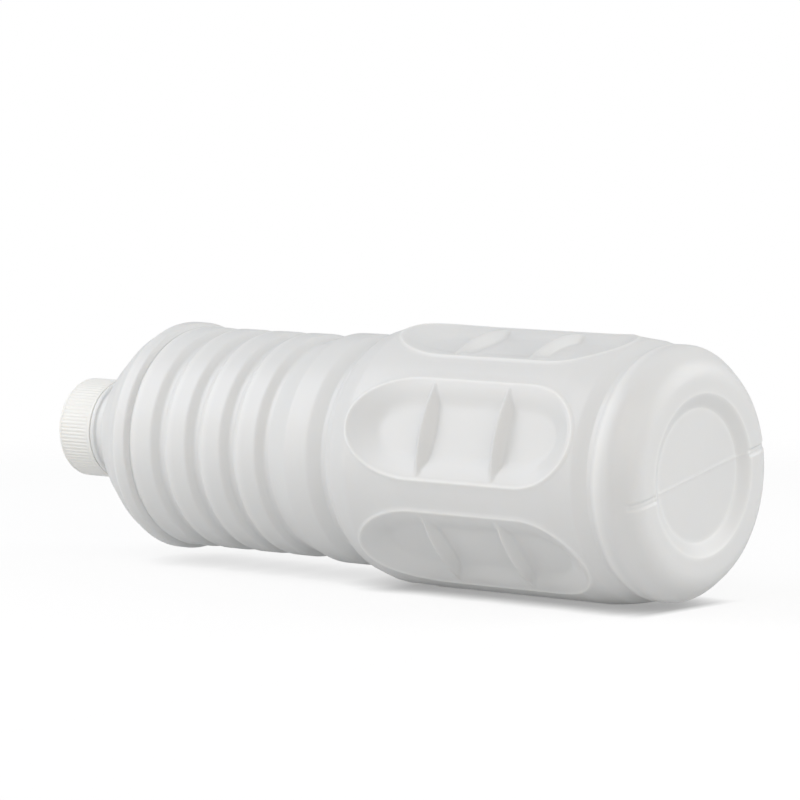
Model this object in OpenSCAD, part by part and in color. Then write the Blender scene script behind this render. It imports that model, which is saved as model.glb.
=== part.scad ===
// One-litre blow-moulded bottle with a ringed column, six grip panels and a screw cap.
// The bottle stands on its foot ring. +Z runs up its axis and z = 0 is the standing plane.
// The mould's parting plane is the XZ plane, so the pinch-off of the base lies along X.

/* [Bottle] */
// Thickness of the blown wall
wall = 1.2; // [0.8:0.1:1.8]
// Radius of the grip section, the widest part of the bottle
grip_r = 43; // [42:0.5:46]
// Height at which the grip section reaches its full radius
grip_low_z = 32; // [30:0.2:34]
// Length of the grip section at its full radius
grip_h = 80.8; // [77:0.2:86]
// How far the grip section's lower end draws in below its full radius
flare_in = 1; // [0.6:0.1:1.6]
// Length over which it draws in
flare_h = 11; // [9:0.2:13]
// Rounding where the flare reaches the full radius
grip_low_round = 20; // [8:1:24]
// Rounding of the upper end of the grip section
grip_high_round = 9; // [4:0.5:12]

/* [Foot] */
// Radius of the flat disc inside the push-up
push_disc_r = 21.4; // [16:0.2:23]
// Inner radius of the foot ring
foot_inner_r = 26.1; // [25:0.1:28]
// Outer radius of the foot ring, where the heel would start if it were sharp
foot_outer_r = 34.9; // [33:0.1:36]
// Height of the push-up above the standing plane
push_up = 2.6; // [1.5:0.1:5]
// Radius of the heel ring above the foot
heel_r = 41; // [40.8:0.1:42]
// Height of the lower corner of the heel ring
heel_z = 8; // [7:0.2:9]
// Height of the heel ring between its two corners
heel_h = 4.8; // [4.2:0.1:5.6]
// Rounding between the foot and the heel
foot_round = 10; // [3:0.5:11]
// Depth of the groove above the heel ring
heel_groove_depth = 0.8; // [0.4:0.1:1.4]
// Height of that groove's middle above the heel ring
heel_groove_rise = 2.8; // [2.4:0.1:3.4]

/* [Grip panels] */
// Number of panels round the grip section
panel_count = 6; // [4:1:6]
// Depth of a panel at its middle
panel_depth = 4.6; // [3.8:0.1:6]
// Half of the width of a panel, measured straight across
panel_half_w = 16.4; // [13:0.1:17]
// How far a panel runs below the grip section's full radius
panel_over = 9; // [7:0.1:10]
// How far a panel stops short of the grip section's upper end
panel_short = 0.1; // [0:0.1:4]
// Length over which the lower end of a panel rises
panel_low_run = 20.6; // [14:0.2:24]
// Length over which the upper end of a panel rises
panel_high_run = 26.7; // [16:0.2:28]
// Height of the point midway between the cross ribs above the panel's lower end
rib_mid_rise = 44.3; // [41:0.1:47]
// Distance between the two cross ribs
rib_pitch = 30.1; // [24:0.1:36]
// How far a cross rib's crest lies below the grip radius
rib_sink = 0.5; // [0.2:0.1:1.5]
// Width of the flat crest of a cross rib
rib_crest_w = 1; // [0.8:0.1:3]
// How far a cross rib's side runs out for each millimetre down
rib_side_run = 0.7; // [0.5:0.05:1.3]

/* [Waist and rings] */
// How far the ledge above the grip section lies inside the grip radius
ledge_in = 2.3; // [1.8:0.1:3.2]
// Height of the ledge above the grip section
ledge_rise = 7.6; // [7:0.1:8.4]
// Depth of the waist, measured in from the ring above it
waist_depth = 2; // [1.4:0.1:3]
// Height of the waist's middle above the ledge
waist_rise = 6; // [5.4:0.1:6.6]
// Height of the waist ring's lower corner above the waist
waist_ring_rise = 5.8; // [5:0.1:7]
// Height of the waist ring between its two corners
waist_ring_h = 9.4; // [8:0.1:10.4]
// How far the waist ring stands out from the ringed column
waist_ring_out = 1; // [0.6:0.1:1.6]
// Radius of the ringed column
column_r = 37.6; // [36.8:0.1:38.6]
// Number of regular grooves round the column
groove_count = 4; // [2:1:4]
// Height of the lowest groove above the waist ring
groove_rise = 10.4; // [9.6:0.1:11.4]
// Distance between grooves
groove_pitch = 15.5; // [14:0.1:16]
// Depth of a groove
groove_depth = 2.15; // [1:0.05:2.6]
// How far a groove runs up from its middle
groove_up = 3.3; // [3:0.1:3.7]
// How far a groove runs down from its middle
groove_down = 4.1; // [3.4:0.1:4.6]
// Width of the flat bottom of a groove
groove_floor_w = 2; // [1.6:0.1:2.6]
// Distance from the top regular groove to the one below the shoulder
shoulder_groove_rise = 13.2; // [12.4:0.1:14.4]
// Depth of that last groove
shoulder_groove_depth = 0.5; // [0.3:0.1:1]
// Half of the last groove's width
shoulder_groove_half_w = 1.1; // [0.8:0.1:1.6]

/* [Shoulder] */
// How far the shoulder ring stands out from the ringed column
shoulder_out = 1.4; // [0.8:0.1:2.4]
// Height of the shoulder ring between its two corners
shoulder_ring_h = 4.8; // [4:0.1:5.6]
// Rounding of its upper corner
shoulder_round = 2; // [1:0.1:4]
// How far the dip above the shoulder ring lies inside it
shoulder_dip_in = 1.6; // [1:0.1:2]
// Height of the dip above the shoulder ring
shoulder_dip_rise = 1.8; // [1.4:0.1:2.4]
// How far the bend where the dome begins lies inside the shoulder ring
dome_foot_in = 2.6; // [2.2:0.1:3.4]
// Height of that bend above the shoulder ring
dome_foot_rise = 4.8; // [4:0.1:6]
// Radius at which the dome turns flatter
dome_r = 26.8; // [25:0.1:28]
// Height of that turn above the shoulder ring
dome_rise = 17.2; // [16:0.1:18.4]
// Rounding of the dome at that turn
dome_round = 12; // [6:0.5:14]
// Height of the neck's root above that turn
root_rise = 4.1; // [3.4:0.1:5]

/* [Neck] */
// Radius of the bore of the neck
bore_r = 12.9; // [11:0.1:13.3]
// Outer radius of the neck under its screw thread
finish_r = 14.7; // [14.4:0.1:15]
// Length of the threaded finish, from the collar to the rim of the mouth
finish_h = 11.8; // [10:0.1:14]
// How far the collar stands out from the finish
collar_out = 1.5; // [1.1:0.1:2]
// How far the two beads stand out from the collar
bead_out = 0.75; // [0.4:0.05:1.2]
// Height of the lower bead above the neck's root
low_bead_rise = 4.3; // [3.6:0.1:5]
// Distance between the two beads
bead_pitch = 4.9; // [4:0.1:5.4]
// Half of the width of a bead at its foot
bead_half_w = 1.3; // [1.1:0.1:1.5]
// Half of the width of a bead's flat top
bead_top_half_w = 0.8; // [0.3:0.05:0.9]
// Height of the collar's top above the upper bead
collar_rise = 1; // [0.9:0.1:2]
// Chamfer on the outer edge of the rim
rim_chamfer = 0.5; // [0.2:0.1:0.8]

/* [Pinch-off] */
// Width of the slot across the foot ring
slot_w = 2.6; // [1.6:0.1:4]
// Depth of that slot
slot_depth = 0.6; // [0.3:0.1:0.9]
// How far outside the foot ring the slot ends on the heel
slot_over = 2.7; // [0:0.1:3.4]
// Width of the weld line in the slot and across the push-up
weld_w = 0.7; // [0.4:0.1:1.2]
// Height of the weld line
weld_h = 0.4; // [0.2:0.05:0.6]

/* [Cap] */
// How far the neck's thread stands out of the neck
thread_h = 1.05; // [0.8:0.05:1.15]
// Radial clearance between the cap's skirt and the neck's thread
thread_clear = 0.2; // [0.1:0.05:0.4]
// Thickness of the cap's skirt over its ribs
cap_wall = 1.3; // [1.1:0.05:2]
// Thickness of the cap's top
cap_top = 1.5; // [1:0.1:2.5]
// Gap between the cap's rim and the collar
cap_gap = 0.4; // [0.3:0.1:1.5]
// Rounding of the cap's top edge
cap_round = 0.8; // [0.4:0.1:1.2]
// Thickness of the sealing liner
liner_h = 1.4; // [0.8:0.1:2.5]
// Clearance round the liner
liner_clear = 0.25; // [0.1:0.05:0.6]

/* [Hidden] */
$fn = 144;
arc_steps = 4;
cut = 1;
tool_deep = 15;
tool_side = 3;
min_round = 0.1;

// Roundings and flat bottoms of the outline's corners
heel_round = 5.5;
heel_top_round = 1.8;
heel_groove_floor = 1.6;
heel_groove_round = 1.2;
flare_round = 4;
foot_edge_round = 1;
ledge_round = 3;
waist_floor = 1.9;
waist_round = 2;
waist_ring_round = 4;
groove_round = 1.8;
groove_edge_round = 2;
groove_low_edge_round = 1;
shoulder_groove_floor = 0.4;
shoulder_groove_round = 0.5;
ring_edge_round = 1;
shoulder_dip_round = 2;
dome_foot_round = 5;
root_round = 1.5;

// Heights up the bottle, each worked out from the one below it
heel_top_z = heel_z + heel_h;
heel_groove_z = heel_top_z + heel_groove_rise;
grip_high_z = grip_low_z + grip_h;
ledge_z = grip_high_z + ledge_rise;
waist_z = ledge_z + waist_rise;
waist_ring_low_z = waist_z + waist_ring_rise;
waist_ring_high_z = waist_ring_low_z + waist_ring_h;
groove_low_z = waist_ring_high_z + groove_rise;
shoulder_groove_z = groove_low_z + (groove_count - 1) * groove_pitch + shoulder_groove_rise;
ring_low_z = shoulder_groove_z + shoulder_groove_half_w;
ring_high_z = ring_low_z + shoulder_ring_h;
dome_z = ring_high_z + dome_rise;
root_z = dome_z + root_rise;
low_bead_z = root_z + low_bead_rise;
high_bead_z = low_bead_z + bead_pitch;
collar_top_z = high_bead_z + collar_rise;
rim_z = collar_top_z + finish_h;

// Radii
heel_groove_r = heel_r - heel_groove_depth;
ledge_r = grip_r - ledge_in;
waist_ring_r = column_r + waist_ring_out;
waist_r = waist_ring_r - waist_depth;
shoulder_r = column_r + shoulder_out;
shoulder_groove_r = column_r - shoulder_groove_depth;
collar_r = finish_r + collar_out;
bead_r = collar_r + bead_out;
slot_end_r = foot_outer_r + slot_over;

// Grip panel: its heights, floor radius and the arc across its floor
panel_low_z = grip_low_z - panel_over;
panel_high_z = grip_high_z - panel_short;
rib_mid_z = panel_low_z + rib_mid_rise;
panel_floor_x = grip_r - panel_depth;
panel_edge_x = sqrt(grip_r * grip_r - panel_half_w * panel_half_w);
panel_bow = panel_edge_x - panel_floor_x;
panel_arc_r = (panel_half_w * panel_half_w + panel_bow * panel_bow) / (2 * panel_bow);
panel_step = 360 / panel_count;

// Cap and liner, from the finish outwards and upwards
cap_bore_r = finish_r + thread_h + thread_clear;
cap_r = cap_bore_r + cap_wall;
liner_r = cap_bore_r - liner_clear;
liner_top_z = rim_z + liner_h;
cap_top_z = liner_top_z + cap_top;
cap_rim_z = collar_top_z + cap_gap;

function unit(v) = v / norm(v);
function left_of(v) = [-v[1], v[0]];
function at(c, i) = [c[i][0], c[i][1]];

// Points of one rounded corner b between its neighbours a and c, as an arc of radius f.
// The rounding is held to what the shorter of its two sides has room for.
function corner_arc(a, b, c, f) =
    let (ua = unit(a - b), uc = unit(c - b))
    let (half = acos(max(-1, min(1, ua * uc))) / 2)
    let (room = 0.49 * min(norm(a - b), norm(c - b)))
    let (fr = min(f, room * tan(half)))
    let (mid = b + unit(ua + uc) * fr / sin(half))
    let (p0 = b + ua * fr / tan(half) - mid, p1 = b + uc * fr / tan(half) - mid)
    let (turn = atan2(p0[0] * p1[1] - p0[1] * p1[0], p0 * p1))
    [for (k = [0 : arc_steps])
        let (q = turn * k / arc_steps)
        mid + [p0[0] * cos(q) - p0[1] * sin(q), p0[0] * sin(q) + p0[1] * cos(q)]];

// A path of corners [r, z, rounding] as points, with its two ends left sharp
function rounded(c) =
    [for (i = [0 : len(c) - 1])
        each (i == 0 || i == len(c) - 1 || c[i][2] == 0
            ? [at(c, i)]
            : corner_arc(at(c, i - 1), at(c, i), at(c, i + 1), c[i][2]))];

// The same corners moved to the left of the path by t, each rounding growing or shrinking
function moved_corner(c, i, t) =
    let (last = len(c) - 1)
    let (n0 = left_of(unit(at(c, max(i, 1)) - at(c, max(i, 1) - 1))))
    let (n1 = left_of(unit(at(c, min(i, last - 1) + 1) - at(c, min(i, last - 1)))))
    let (shift = (n0 + n1) * t / (1 + n0 * n1))
    let (side = n0[0] * n1[1] - n0[1] * n1[0])
    [c[i][0] + shift[0], c[i][1] + shift[1],
     c[i][2] == 0 ? 0 : max(min_round, c[i][2] - sign(side) * t)];
function moved(c, t) = [for (i = [0 : len(c) - 1]) moved_corner(c, i, t)];

// Corners of one groove of the column with its middle at z. The lowest one has no edge below it,
// because the column runs into the waist ring there.
function groove_corners(z) =
    [if (z > groove_low_z) [column_r, z - groove_down, groove_low_edge_round],
     [column_r - groove_depth, z - groove_floor_w / 2, groove_round],
     [column_r - groove_depth, z + groove_floor_w / 2, groove_round],
     [column_r, z + groove_up, groove_edge_round]];

// Outline of the blown body from the middle of the base to the neck
body_corners = concat(
    [[0, push_up, 0],
     [push_disc_r, push_up, foot_edge_round],
     [foot_inner_r, 0, foot_edge_round],
     [foot_outer_r, 0, foot_round],
     [heel_r, heel_z, heel_round],
     [heel_r, heel_top_z, heel_top_round],
     [heel_groove_r, heel_groove_z - heel_groove_floor / 2, heel_groove_round],
     [heel_groove_r, heel_groove_z + heel_groove_floor / 2, heel_groove_round],
     [grip_r - flare_in, grip_low_z - flare_h, flare_round],
     [grip_r, grip_low_z, grip_low_round],
     [grip_r, grip_high_z, grip_high_round],
     [ledge_r, ledge_z, ledge_round],
     [waist_r, waist_z - waist_floor / 2, waist_round],
     [waist_r, waist_z + waist_floor / 2, waist_round],
     [waist_ring_r, waist_ring_low_z, waist_ring_round],
     [waist_ring_r, waist_ring_high_z, waist_ring_round]],
    [for (k = [0 : groove_count - 1]) each groove_corners(groove_low_z + k * groove_pitch)],
    [[column_r, shoulder_groove_z - shoulder_groove_half_w, groove_low_edge_round],
     [shoulder_groove_r, shoulder_groove_z - shoulder_groove_floor / 2, shoulder_groove_round],
     [shoulder_groove_r, shoulder_groove_z + shoulder_groove_floor / 2, shoulder_groove_round],
     [shoulder_r, ring_low_z, ring_edge_round],
     [shoulder_r, ring_high_z, shoulder_round],
     [shoulder_r - shoulder_dip_in, ring_high_z + shoulder_dip_rise, shoulder_dip_round],
     [shoulder_r - dome_foot_in, ring_high_z + dome_foot_rise, dome_foot_round],
     [dome_r, dome_z, dome_round],
     [collar_r, root_z, root_round]]);

module body_solid() {
    rotate_extrude()
        polygon(concat(rounded(concat(body_corners, [[collar_r, collar_top_z, 0]])),
                       [[0, collar_top_z]]));
}

// The hollow: the body's outline moved in by the wall, then the neck's bore
module body_hollow() {
    inner = moved(concat(body_corners, [[collar_r, low_bead_z, 0]]), wall);
    rotate_extrude()
        polygon(concat(rounded(concat(inner, [[bore_r, high_bead_z, 0]])),
                       [[bore_r, rim_z + cut], [0, rim_z + cut]]));
}

// Section across a panel's floor: an arc that bows away from the bottle's axis, at x = 0
module panel_section(grow) {
    intersection() {
        translate([panel_arc_r + grow, 0]) circle(panel_arc_r + grow, $fn = 360);
        translate([-cut, -panel_half_w - tool_side])
            square([tool_deep + cut + grow, 2 * (panel_half_w + tool_side)]);
    }
}

// One end of a panel: the section swept up and out, on an arc that rises by the panel's depth
module panel_end(run, grow) {
    sweep_r = (run * run + panel_depth * panel_depth) / (2 * panel_depth) + grow;
    sweep_angle = acos(1 - (panel_depth + tool_side) / sweep_r);
    translate([panel_floor_x - grow + sweep_r, 0, 0])
        rotate([90, 0, 180])
            rotate_extrude(angle = sweep_angle)
                translate([sweep_r, 0]) mirror([1, 0]) panel_section(grow);
}

// What is taken off the grip section for one panel
module panel_tool(grow) {
    low = panel_low_z + panel_low_run;
    high = panel_high_z - panel_high_run;
    translate([0, 0, low])
        linear_extrude(high - low)
            translate([panel_floor_x - grow, 0]) panel_section(grow);
    translate([0, 0, high]) panel_end(panel_high_run, grow);
    translate([0, 0, low]) mirror([0, 0, 1]) panel_end(panel_low_run, grow);
}

// Cross ribs left standing in the panels, as rings with sloping sides; t moves their faces in
module rib_rings(t) {
    crest_r = grip_r - rib_sink - t;
    crest_half = max(min_round, rib_crest_w / 2 - t * (sqrt(1 + rib_side_run * rib_side_run) - rib_side_run));
    deep = 2 * panel_depth + cut;
    foot_half = crest_half + deep * rib_side_run;
    for (side = [-1, 1])
        translate([0, 0, rib_mid_z + side * rib_pitch / 2])
            rotate_extrude()
                polygon([[crest_r - deep, -foot_half], [crest_r, -crest_half],
                         [crest_r, crest_half], [crest_r - deep, foot_half]]);
}

module panels(grow) {
    difference() {
        for (k = [0 : panel_count - 1])
            rotate([0, 0, (k + 0.5) * panel_step]) panel_tool(grow);
        rib_rings(grow);
    }
}

// Neck above the body: two beads on the collar, then the finish that carries the thread
module neck_solid() {
    rotate_extrude()
        polygon([[bore_r - cut, root_z], [collar_r, root_z],
                 [collar_r, low_bead_z - bead_half_w], [bead_r, low_bead_z - bead_top_half_w],
                 [bead_r, low_bead_z + bead_top_half_w], [collar_r, low_bead_z + bead_half_w],
                 [collar_r, high_bead_z - bead_half_w], [bead_r, high_bead_z - bead_top_half_w],
                 [bead_r, high_bead_z + bead_top_half_w], [collar_r, collar_top_z],
                 [finish_r, collar_top_z], [finish_r, rim_z - rim_chamfer],
                 [finish_r - rim_chamfer, rim_z], [bore_r - cut, rim_z]]);
}

// The foot's outline moved in by t, as a solid up to the heel
foot_corners = [for (c = body_corners) if (c[1] <= heel_z) c];
module foot_moved_in(t) {
    rotate_extrude()
        polygon(concat(rounded(moved(foot_corners, t)),
                       [[heel_r, heel_z + heel_round], [0, heel_z + heel_round]]));
}

// Upright slabs along X through the foot ring, one on each side
module foot_slabs(w) {
    for (side = [0, 180])
        rotate([0, 0, side])
            translate([foot_inner_r - foot_edge_round, -w / 2, -cut])
                cube([slot_end_r - foot_inner_r + foot_edge_round, w, heel_z - heel_round / 2 + cut]);
}

// The mould's pinch-off: a slot across the foot ring and round the heel, and its weld line
module pinch_slots() {
    difference() {
        foot_slabs(slot_w);
        foot_moved_in(slot_depth);
    }
}
module weld_lines() {
    intersection() {
        foot_slabs(weld_w);
        foot_moved_in(slot_depth - weld_h);
    }
    translate([-push_disc_r, -weld_w / 2, push_up - weld_h])
        cube([2 * push_disc_r, weld_w, weld_h + wall / 2]);
}

module bottle() {
    color("whitesmoke")
        difference() {
            union() {
                difference() {
                    body_solid();
                    panels(0);
                    pinch_slots();
                }
                neck_solid();
                weld_lines();
            }
            difference() {
                body_hollow();
                panels(wall);
            }
        }
}

// Sealing wad that sits under the cap's top and is pressed on the rim of the mouth
module cap_liner() {
    color("white")
        translate([0, 0, rim_z]) cylinder(r = liner_r, h = liner_h);
}

// Screw cap, open downwards; its bore clears the neck's thread
module screw_cap() {
    color("ivory")
        difference() {
            rotate_extrude()
                polygon(concat([[0, cap_rim_z]],
                    rounded([[cap_bore_r, cap_rim_z, 0], [cap_r, cap_rim_z, cap_round / 2],
                             [cap_r, cap_top_z, cap_round], [0, cap_top_z, 0]])));
            translate([0, 0, cap_rim_z - cut])
                cylinder(r = cap_bore_r, h = liner_top_z - cap_rim_z + cut);
        }
}

bottle();
cap_liner();
screw_cap();
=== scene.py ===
"""Looks of a one-litre blow-moulded bottle with a screw cap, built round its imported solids."""
import math

import bpy
from mathutils import Matrix, Vector


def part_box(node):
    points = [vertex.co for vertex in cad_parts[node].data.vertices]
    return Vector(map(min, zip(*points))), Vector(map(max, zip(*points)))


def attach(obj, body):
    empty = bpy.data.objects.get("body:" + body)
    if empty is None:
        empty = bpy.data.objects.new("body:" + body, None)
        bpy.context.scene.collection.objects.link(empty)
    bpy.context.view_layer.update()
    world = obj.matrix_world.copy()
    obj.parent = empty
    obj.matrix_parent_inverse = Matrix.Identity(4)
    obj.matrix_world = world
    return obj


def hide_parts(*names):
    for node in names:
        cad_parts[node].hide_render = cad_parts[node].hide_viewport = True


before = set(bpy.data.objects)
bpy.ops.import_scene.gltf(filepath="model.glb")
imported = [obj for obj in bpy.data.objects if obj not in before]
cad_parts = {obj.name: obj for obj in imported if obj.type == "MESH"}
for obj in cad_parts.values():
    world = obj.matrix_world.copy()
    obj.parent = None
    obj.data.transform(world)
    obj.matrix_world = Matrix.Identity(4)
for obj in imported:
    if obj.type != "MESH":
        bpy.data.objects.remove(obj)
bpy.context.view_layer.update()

MM = 0.001

# ---- Sizes in millimetres, the same as the solids' own ----
# Outlines below are lists of corners (r, z, rounding), which rounded() turns into points.
WALL = 1.2
GRIP_R = 43.0
GRIP_LOW_Z, GRIP_HIGH_Z = 32.0, 112.8
FLARE_R, FLARE_Z = 42.0, 21.0

PUSH_DISC_R, PUSH_UP = 21.4, 2.6
FOOT_INNER_R, FOOT_OUTER_R = 26.1, 34.9
HEEL_R, HEEL_Z, HEEL_TOP_Z = 41.0, 8.0, 12.8
HEEL_GROOVE_R, HEEL_GROOVE_Z, HEEL_GROOVE_FLOOR = 40.2, 15.6, 1.6

PANEL_COUNT = 6
PANEL_DEPTH, PANEL_HALF_W = 4.6, 16.4
PANEL_LOW_Z, PANEL_HIGH_Z = 23.0, 112.7
PANEL_LOW_RUN, PANEL_HIGH_RUN = 20.6, 26.7
RIB_MID_Z, RIB_PITCH = 67.3, 30.1
RIB_SINK, RIB_CREST_W, RIB_SIDE_RUN = 0.5, 1.0, 0.7

LEDGE_R, LEDGE_Z = 40.7, 120.4
WAIST_R, WAIST_Z, WAIST_FLOOR = 36.6, 126.4, 1.9
WAIST_RING_R, WAIST_RING_LOW_Z, WAIST_RING_HIGH_Z = 38.6, 132.2, 141.6
COLUMN_R, GROOVE_COUNT, GROOVE_LOW_Z, GROOVE_PITCH = 37.6, 4, 152.0, 15.5
GROOVE_DEPTH, GROOVE_UP, GROOVE_DOWN, GROOVE_FLOOR_W = 2.15, 3.3, 4.1, 2.0
SHOULDER_GROOVE_R, SHOULDER_GROOVE_Z = 37.1, 211.7
SHOULDER_GROOVE_HALF_W, SHOULDER_GROOVE_FLOOR = 1.1, 0.4
SHOULDER_R, RING_LOW_Z, RING_HIGH_Z = 39.0, 212.8, 217.6
SHOULDER_DIP_R, SHOULDER_DIP_Z = 37.4, 219.4
DOME_FOOT_R, DOME_FOOT_Z = 36.4, 222.4
DOME_R, DOME_Z = 26.8, 234.8
ROOT_Z = 238.9

BORE_R, FINISH_R, COLLAR_R, BEAD_R = 12.9, 14.7, 16.2, 16.95
LOW_BEAD_Z, HIGH_BEAD_Z, BEAD_HALF_W, BEAD_TOP_HALF_W = 243.2, 248.1, 1.3, 0.8
COLLAR_TOP_Z, RIM_Z = 249.1, 260.9

CAP_R, CAP_H, CAP_TOP, CAP_RIBS = 17.25, 14.3, 1.5, 84
THREAD_H, THREAD_CLEAR, THREAD_PITCH = 1.05, 0.2, 4.23
LINER_H = 1.4
CAP_BORE_R = FINISH_R + THREAD_H + THREAD_CLEAR
LINER_TOP_Z = RIM_Z + LINER_H
CAP_TOP_Z = LINER_TOP_Z + CAP_TOP
CAP_RIM_Z = CAP_TOP_Z - CAP_H

# ---- Sizes in millimetres that only the drawn pieces have ----
# The threads: where they start, their turns, half their foot's width, and the cap's ridge,
# which is lower than the neck's
THREAD_LOW_Z, THREAD_TURNS, THREAD_HALF_W, CAP_THREAD_H = 252.0, 1.5, 1.05, 0.9
# Their crest's width as a share of THREAD_HALF_W, the share of the length over which each end
# runs out, and the share of its full size that the ridge has at its very end
THREAD_CREST, THREAD_RUN_OUT, THREAD_END = 0.8, 0.07, 0.05
# The pinch-off across the base, along X: a slot with sloping sides and ends, and the weld's bead
SLOT_HALF_W, SLOT_DEPTH, SLOT_INNER_R, SLOT_OUTER_R = 1.3, 0.6, 25.4, 37.6
SLOT_SIDE_RUN, SLOT_END_RUN = 0.45, 0.8
WELD_HALF_W, WELD_H = 0.55, 0.16
# The panels' flat floor, as a share of the way from the middle to the edge
PANEL_FLOOR = 0.62
# The panels' lips: height, width, how far outside the edge they lie, the strength of their painted
# highlight, and how far out across the bottle they may reach, which keeps them inside the solids' box
LIP_H, LIP_W, LIP_OUT, LIP_PAINTED_HIGHLIGHT, LIP_LIMIT = 0.35, 0.6, 0.4, 0.75, 42.93
# Soft blends: panel floor into wall at the low and high ends, cross ribs' feet, panel edges
LOW_BLEND, HIGH_BLEND, RIB_FOOT_BLEND, PANEL_EDGE_BLEND = 0.35, 1.3, 0.8, 0.45
# How far the painted highlight along a sharp edge spreads
HIGHLIGHT_REACH = 0.8
# The cap's skirt, then its ribs: height, the run over which they fade, and how rounded they are
CAP_SKIRT_R, CAP_RIB_H, CAP_RIB_FADE, CAP_RIB_POWER = CAP_R - 0.3, 0.17, 0.5, 0.8
# Where they stop above the cap's rim and below its top
CAP_RIBS_LOW_Z, CAP_RIBS_HIGH_Z = CAP_RIM_Z + 0.9, CAP_TOP_Z - 1.0
# The smooth band at the cap's rim, and its smooth top edge, measured down from the top
CAP_BAND_R, CAP_BAND_H = CAP_R - 0.12, 0.75
CAP_EDGE_R, CAP_EDGE_H, CAP_EDGE_FOOT = CAP_SKIRT_R + 0.1, 1.2, 1.3
# The drawn cap comes down to here, close over the collar; the solid leaves a wider gap
CAP_LOW_Z = COLLAR_TOP_Z + 0.06

# ---- Mesh spacing, in millimetres unless it says otherwise ----
OUTER_ARC_DEGREES, INNER_ARC_DEGREES = 11.0, 30.0
PLAIN_COLUMNS, INNER_COLUMNS, LINER_COLUMNS, COLUMNS_PER_CAP_RIB = 144, 120, 96, 8
THREAD_STEPS_PER_TURN = 96
# The stretch of the body, in z, that the panels are pressed into
PANEL_ZONE = (20.0, 115.5)
# Longest steps up the outer skin: plain, on the base, then from a panel's tips to its middle,
# with how far the tips and the ramps beside them reach
PLAIN_STEP, BASE_STEP, TIP_STEP, RAMP_STEP, PANEL_STEP = 3.0, 0.9, 0.35, 0.9, 2.4
LOW_TIP, HIGH_TIP, LOW_RAMP, HIGH_RAMP = 4.5, 5, 14, 16
# The cross ribs' close rows: how far they reach, and the steps there on either skin
RIB_REACH, RIB_STEP, INNER_RIB_STEP, INNER_STEP = 4.4, 0.4, 1.2, 4.0
# Columns across half a sector, as shares: a panel's edge lies at COLUMN_EDGE, amid close columns
COLUMN_EDGE, EDGE_SPACING, EDGE_COLUMNS = 0.7, 0.011, range(-4, 6)
FLOOR_COLUMNS, FLOOR_MARGIN, LAND_SHARES = 9, 0.06, [0.81, 0.90]
# Towards a panel's tips, and beyond them, its columns keep this half width, in degrees
NARROW_DEGREES = 11.0
# Extra columns on either side of the pinch-off, in degrees from it
SEAM_DEGREES = [0.6, 1.2, 1.9, 3.2]
CAP_STEP, LINER_STEP = 0.8, 2.0
# Of the rings on the cap's flat top and ceiling, one in this many is kept
FLAT_RINGS = 5
# The smallest length that counts, the sharpest rounding an inner skin may take, and the depth
# under which a point is on the outer skin
TINY, SMALLEST_ROUNDING, OUTER_SKIN = 1e-6, 0.1, 0.1
# The smallest distance from the axis that a distance is divided by
AXIS_R = 0.01
# A point this far inside the cap's skirt still counts as on it
SKIRT_MARGIN = 0.05


# ======================================================================
# Outlines
# ======================================================================
def corner_arc(before, corner, after, rounding, arc_degrees):
    """Points of one rounded corner, held to what its shorter side has room for."""
    ua = (before - corner).normalized()
    uc = (after - corner).normalized()
    half = math.acos(max(-1.0, min(1.0, ua.dot(uc)))) / 2
    # Just under half of a side, so that the arcs at its two ends can't meet
    room = 0.49 * min((before - corner).length, (after - corner).length)
    radius = min(rounding, room * math.tan(half))
    middle = corner + (ua + uc).normalized() * radius / math.sin(half)
    start = corner + ua * radius / math.tan(half) - middle
    end = corner + uc * radius / math.tan(half) - middle
    turn = math.atan2(start.cross(end), start.dot(end))
    steps = max(2, math.ceil(abs(math.degrees(turn)) / arc_degrees))
    return [middle + Matrix.Rotation(turn * k / steps, 2) @ start for k in range(steps + 1)]


def rounded(corners, arc_degrees=OUTER_ARC_DEGREES):
    """A path of corners (r, z, rounding) as points, with its two ends left sharp."""
    places = [Vector(corner[:2]) for corner in corners]
    points = [places[0]]
    for i in range(1, len(corners) - 1):
        if corners[i][2] == 0:
            points.append(places[i])
        else:
            points.extend(corner_arc(*places[i - 1:i + 2], corners[i][2], arc_degrees))
    points.append(places[-1])
    return points


def moved(corners, t):
    """The same corners moved to the left of the path by t, with their roundings to match, none
    of which becomes sharper than SMALLEST_ROUNDING."""
    places = [Vector(corner[:2]) for corner in corners]
    last = len(corners) - 1
    result = []
    for i, (r, z, rounding) in enumerate(corners):
        into = (places[max(i, 1)] - places[max(i, 1) - 1]).normalized()
        out = (places[min(i, last - 1) + 1] - places[min(i, last - 1)]).normalized()
        n0, n1 = Vector((-into.y, into.x)), Vector((-out.y, out.x))
        shift = (n0 + n1) * t / (1 + n0.dot(n1))
        side = math.copysign(1, into.cross(out))
        new_rounding = max(SMALLEST_ROUNDING, rounding - side * t) if rounding else 0
        result.append((r + shift.x, z + shift.y, new_rounding))
    return result


def spaced(points, step_at):
    """The path with each stretch divided so that no step is longer than step_at(z)."""
    result = [points[0]]
    for a, b in zip(points, points[1:]):
        length = (b - a).length
        if length < TINY:
            continue
        marks = [0.0]
        while marks[-1] < length:
            marks.append(marks[-1] + step_at(a.lerp(b, marks[-1] / length).y))
        result.extend(a.lerp(b, mark / marks[-1]) for mark in marks[1:])
    return result


def groove(z):
    """One groove of the column. The lowest has no edge below it: the waist ring starts there."""
    edge = [(COLUMN_R, z - GROOVE_DOWN, 1.0)] if z > GROOVE_LOW_Z else []
    floor_r = COLUMN_R - GROOVE_DEPTH
    return edge + [(floor_r, z - GROOVE_FLOOR_W / 2, 1.8), (floor_r, z + GROOVE_FLOOR_W / 2, 1.8),
                   (COLUMN_R, z + GROOVE_UP, 2.0)]


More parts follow.
